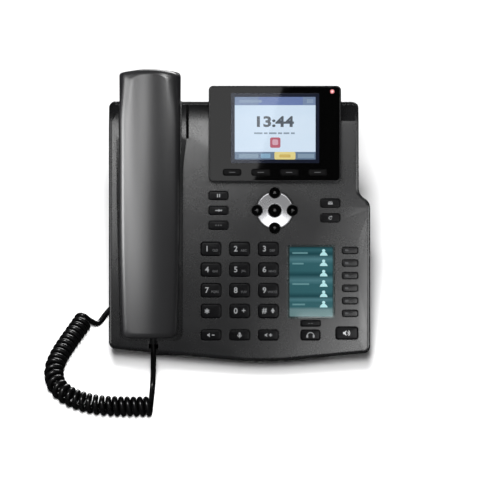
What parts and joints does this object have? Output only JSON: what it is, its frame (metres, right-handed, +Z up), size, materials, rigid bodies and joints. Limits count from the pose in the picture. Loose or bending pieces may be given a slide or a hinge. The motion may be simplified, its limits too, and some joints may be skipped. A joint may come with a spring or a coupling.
{
  "type": "desk ip phone",
  "caption": "Wedge-shaped desk telephone with a corded handset, raised colour screen, dial keys and a second line-key screen, on a slide-on stand.",
  "frame": {"origin": "on the desk, at the centre of the rubber foot under the body's front edge", "axes": "+X to the right across the face, +Y away from the user, +Z up; the face is tilted 40 degrees from the desk about X"},
  "size_m": [0.2334, 0.1956, 0.1791],
  "materials": {
    "housing": "fine matt grain",
    "rear_housing": "fine matt grain",
    "screen_frame": "gloss",
    "screen_glass": "gloss, dark outside the picture area",
    "display": "lit colour picture",
    "side_glass": "clear gloss",
    "side_display": "lit teal picture",
    "silver_paint": "satin silver paint",
    "silicone": "matt",
    "circuit_board": "satin solder mask",
    "loudspeaker": "plain",
    "led": "clear tinted",
    "screw": "zinc plated",
    "foot_rubber": "matt",
    "cord": "satin",
    "hook_plunger": "satin",
    "handset": "fine matt grain",
    "handset_inner": "fine matt grain",
    "capsule": "plain",
    "stand": "fine matt grain",
    "key": "satin gloss, light printed marks",
    "nav_key": "gloss",
    "soft_key": "gloss"
  },
  "bodies": {
    "base": {"front_housing": "housing", "rear_housing": "rear_housing", "screen_bezel": "screen_frame", "screen_lens": "screen_glass", "main_lcd": "display", "side_window": "side_glass", "side_lcd": "side_display", "nav_ring": "silver_paint", "keypad_mat": "silicone", "main_board": "circuit_board", "loudspeaker": "loudspeaker", "status_led": "led", "housing_screws": "screw", "front_foot": "foot_rubber", "coiled_cord": "cord"},
    "handset": {"handset_back_shell": "handset", "handset_front_shell": "handset_inner", "earpiece_capsule": "capsule", "handset_board": "circuit_board"},
    "hook": {"hook_plunger": "hook_plunger"},
    "stand": {"stand": "stand", "stand_feet": "foot_rubber"},
    "key_1": {"key_1": "key"},
    "key_2": {"key_2": "key"},
    "key_3": {"key_3": "key"},
    "key_4": {"key_4": "key"},
    "key_5": {"key_5": "key"},
    "key_6": {"key_6": "key"},
    "key_7": {"key_7": "key"},
    "key_8": {"key_8": "key"},
    "key_9": {"key_9": "key"},
    "key_star": {"key_star": "key"},
    "key_0": {"key_0": "key"},
    "key_hash": {"key_hash": "key"},
    "volume_down_key": {"volume_down_key": "key"},
    "mute_key": {"mute_key": "key"},
    "volume_up_key": {"volume_up_key": "key"},
    "hold_key": {"hold_key": "key"},
    "transfer_key": {"transfer_key": "key"},
    "conference_key": {"conference_key": "key"},
    "message_key": {"message_key": "key"},
    "redial_key": {"redial_key": "key"},
    "line_key_1": {"line_key_1": "key"},
    "line_key_2": {"line_key_2": "key"},
    "line_key_3": {"line_key_3": "key"},
    "line_key_4": {"line_key_4": "key"},
    "line_key_5": {"line_key_5": "key"},
    "line_key_6": {"line_key_6": "key"},
    "page_key": {"page_key": "key"},
    "headset_key": {"headset_key": "key"},
    "speaker_key": {"speaker_key": "key"},
    "nav_up": {"nav_up": "nav_key"},
    "nav_left": {"nav_left": "nav_key"},
    "nav_down": {"nav_down": "nav_key"},
    "nav_right": {"nav_right": "nav_key"},
    "nav_ok": {"nav_ok": "nav_key"},
    "soft_key_1": {"soft_key_1": "soft_key"},
    "soft_key_2": {"soft_key_2": "soft_key"},
    "soft_key_3": {"soft_key_3": "soft_key"},
    "soft_key_4": {"soft_key_4": "soft_key"}
  },
  "joints": [
    {"name": "handset_lift", "type": "slide", "parent": "base", "child": "handset", "axis": [0, -0.6428, 0.766], "range_m": [0, 0.09], "deforming": ["coiled_cord"]},
    {"name": "hook_rise", "type": "slide", "parent": "base", "child": "hook", "axis": [0, -0.6428, 0.766], "range_m": [0, 0.004]},
    {"name": "stand_slide", "type": "slide", "parent": "base", "child": "stand", "axis": [0, -0.766, -0.6428], "range_m": [0, 0.03]},
    {"name": "key_1_press", "type": "slide", "parent": "base", "child": "key_1", "axis": [0, 0.6428, -0.766], "range_m": [0, 0.0012], "stiffness_N_per_m": 60, "springref_m": -0.002},
    {"name": "key_2_press", "type": "slide", "parent": "base", "child": "key_2", "axis": [0, 0.6428, -0.766], "range_m": [0, 0.0012], "stiffness_N_per_m": 60, "springref_m": -0.002},
    {"name": "key_3_press", "type": "slide", "parent": "base", "child": "key_3", "axis": [0, 0.6428, -0.766], "range_m": [0, 0.0012], "stiffness_N_per_m": 60, "springref_m": -0.002},
    {"name": "key_4_press", "type": "slide", "parent": "base", "child": "key_4", "axis": [0, 0.6428, -0.766], "range_m": [0, 0.0012], "stiffness_N_per_m": 60, "springref_m": -0.002},
    {"name": "key_5_press", "type": "slide", "parent": "base", "child": "key_5", "axis": [0, 0.6428, -0.766], "range_m": [0, 0.0012], "stiffness_N_per_m": 60, "springref_m": -0.002},
    {"name": "key_6_press", "type": "slide", "parent": "base", "child": "key_6", "axis": [0, 0.6428, -0.766], "range_m": [0, 0.0012], "stiffness_N_per_m": 60, "springref_m": -0.002},
    {"name": "key_7_press", "type": "slide", "parent": "base", "child": "key_7", "axis": [0, 0.6428, -0.766], "range_m": [0, 0.0012], "stiffness_N_per_m": 60, "springref_m": -0.002},
    {"name": "key_8_press", "type": "slide", "parent": "base", "child": "key_8", "axis": [0, 0.6428, -0.766], "range_m": [0, 0.0012], "stiffness_N_per_m": 60, "springref_m": -0.002},
    {"name": "key_9_press", "type": "slide", "parent": "base", "child": "key_9", "axis": [0, 0.6428, -0.766], "range_m": [0, 0.0012], "stiffness_N_per_m": 60, "springref_m": -0.002},
    {"name": "key_star_press", "type": "slide", "parent": "base", "child": "key_star", "axis": [0, 0.6428, -0.766], "range_m": [0, 0.0012], "stiffness_N_per_m": 60, "springref_m": -0.002},
    {"name": "key_0_press", "type": "slide", "parent": "base", "child": "key_0", "axis": [0, 0.6428, -0.766], "range_m": [0, 0.0012], "stiffness_N_per_m": 60, "springref_m": -0.002},
    {"name": "key_hash_press", "type": "slide", "parent": "base", "child": "key_hash", "axis": [0, 0.6428, -0.766], "range_m": [0, 0.0012], "stiffness_N_per_m": 60, "springref_m": -0.002},
    {"name": "volume_down_key_press", "type": "slide", "parent": "base", "child": "volume_down_key", "axis": [0, 0.6428, -0.766], "range_m": [0, 0.0012], "stiffness_N_per_m": 60, "springref_m": -0.002},
    {"name": "mute_key_press", "type": "slide", "parent": "base", "child": "mute_key", "axis": [0, 0.6428, -0.766], "range_m": [0, 0.0012], "stiffness_N_per_m": 60, "springref_m": -0.002},
    {"name": "volume_up_key_press", "type": "slide", "parent": "base", "child": "volume_up_key", "axis": [0, 0.6428, -0.766], "range_m": [0, 0.0012], "stiffness_N_per_m": 60, "springref_m": -0.002},
    {"name": "hold_key_press", "type": "slide", "parent": "base", "child": "hold_key", "axis": [0, 0.6428, -0.766], "range_m": [0, 0.0012], "stiffness_N_per_m": 60, "springref_m": -0.002},
    {"name": "transfer_key_press", "type": "slide", "parent": "base", "child": "transfer_key", "axis": [0, 0.6428, -0.766], "range_m": [0, 0.0012], "stiffness_N_per_m": 60, "springref_m": -0.002},
    {"name": "conference_key_press", "type": "slide", "parent": "base", "child": "conference_key", "axis": [0, 0.6428, -0.766], "range_m": [0, 0.0012], "stiffness_N_per_m": 60, "springref_m": -0.002},
    {"name": "message_key_press", "type": "slide", "parent": "base", "child": "message_key", "axis": [0, 0.6428, -0.766], "range_m": [0, 0.0012], "stiffness_N_per_m": 60, "springref_m": -0.002},
    {"name": "redial_key_press", "type": "slide", "parent": "base", "child": "redial_key", "axis": [0, 0.6428, -0.766], "range_m": [0, 0.0012], "stiffness_N_per_m": 60, "springref_m": -0.002},
    {"name": "line_key_1_press", "type": "slide", "parent": "base", "child": "line_key_1", "axis": [0, 0.6428, -0.766], "range_m": [0, 0.0012], "stiffness_N_per_m": 60, "springref_m": -0.002},
    {"name": "line_key_2_press", "type": "slide", "parent": "base", "child": "line_key_2", "axis": [0, 0.6428, -0.766], "range_m": [0, 0.0012], "stiffness_N_per_m": 60, "springref_m": -0.002},
    {"name": "line_key_3_press", "type": "slide", "parent": "base", "child": "line_key_3", "axis": [0, 0.6428, -0.766], "range_m": [0, 0.0012], "stiffness_N_per_m": 60, "springref_m": -0.002},
    {"name": "line_key_4_press", "type": "slide", "parent": "base", "child": "line_key_4", "axis": [0, 0.6428, -0.766], "range_m": [0, 0.0012], "stiffness_N_per_m": 60, "springref_m": -0.002},
    {"name": "line_key_5_press", "type": "slide", "parent": "base", "child": "line_key_5", "axis": [0, 0.6428, -0.766], "range_m": [0, 0.0012], "stiffness_N_per_m": 60, "springref_m": -0.002},
    {"name": "line_key_6_press", "type": "slide", "parent": "base", "child": "line_key_6", "axis": [0, 0.6428, -0.766], "range_m": [0, 0.0012], "stiffness_N_per_m": 60, "springref_m": -0.002},
    {"name": "page_key_press", "type": "slide", "parent": "base", "child": "page_key", "axis": [0, 0.6428, -0.766], "range_m": [0, 0.0012], "stiffness_N_per_m": 60, "springref_m": -0.002},
    {"name": "headset_key_press", "type": "slide", "parent": "base", "child": "headset_key", "axis": [0, 0.6428, -0.766], "range_m": [0, 0.0012], "stiffness_N_per_m": 60, "springref_m": -0.002},
    {"name": "speaker_key_press", "type": "slide", "parent": "base", "child": "speaker_key", "axis": [0, 0.6428, -0.766], "range_m": [0, 0.0012], "stiffness_N_per_m": 60, "springref_m": -0.002},
    {"name": "nav_up_press", "type": "slide", "parent": "base", "child": "nav_up", "axis": [0, 0.6428, -0.766], "range_m": [0, 0.0012], "stiffness_N_per_m": 60, "springref_m": -0.002},
    {"name": "nav_left_press", "type": "slide", "parent": "base", "child": "nav_left", "axis": [0, 0.6428, -0.766], "range_m": [0, 0.0012], "stiffness_N_per_m": 60, "springref_m": -0.002},
    {"name": "nav_down_press", "type": "slide", "parent": "base", "child": "nav_down", "axis": [0, 0.6428, -0.766], "range_m": [0, 0.0012], "stiffness_N_per_m": 60, "springref_m": -0.002},
    {"name": "nav_right_press", "type": "slide", "parent": "base", "child": "nav_right", "axis": [0, 0.6428, -0.766], "range_m": [0, 0.0012], "stiffness_N_per_m": 60, "springref_m": -0.002},
    {"name": "nav_ok_press", "type": "slide", "parent": "base", "child": "nav_ok", "axis": [0, 0.6428, -0.766], "range_m": [0, 0.0012], "stiffness_N_per_m": 60, "springref_m": -0.002},
    {"name": "soft_key_1_press", "type": "slide", "parent": "base", "child": "soft_key_1", "axis": [0, 0.6428, -0.766], "range_m": [0, 0.0008], "stiffness_N_per_m": 60, "springref_m": -0.002},
    {"name": "soft_key_2_press", "type": "slide", "parent": "base", "child": "soft_key_2", "axis": [0, 0.6428, -0.766], "range_m": [0, 0.0008], "stiffness_N_per_m": 60, "springref_m": -0.002},
    {"name": "soft_key_3_press", "type": "slide", "parent": "base", "child": "soft_key_3", "axis": [0, 0.6428, -0.766], "range_m": [0, 0.0008], "stiffness_N_per_m": 60, "springref_m": -0.002},
    {"name": "soft_key_4_press", "type": "slide", "parent": "base", "child": "soft_key_4", "axis": [0, 0.6428, -0.766], "range_m": [0, 0.0008], "stiffness_N_per_m": 60, "springref_m": -0.002}
  ],
  "couplings": [
    {"joint": "hook_rise", "follows": "handset_lift", "ratio": 0.0444}
  ]
}
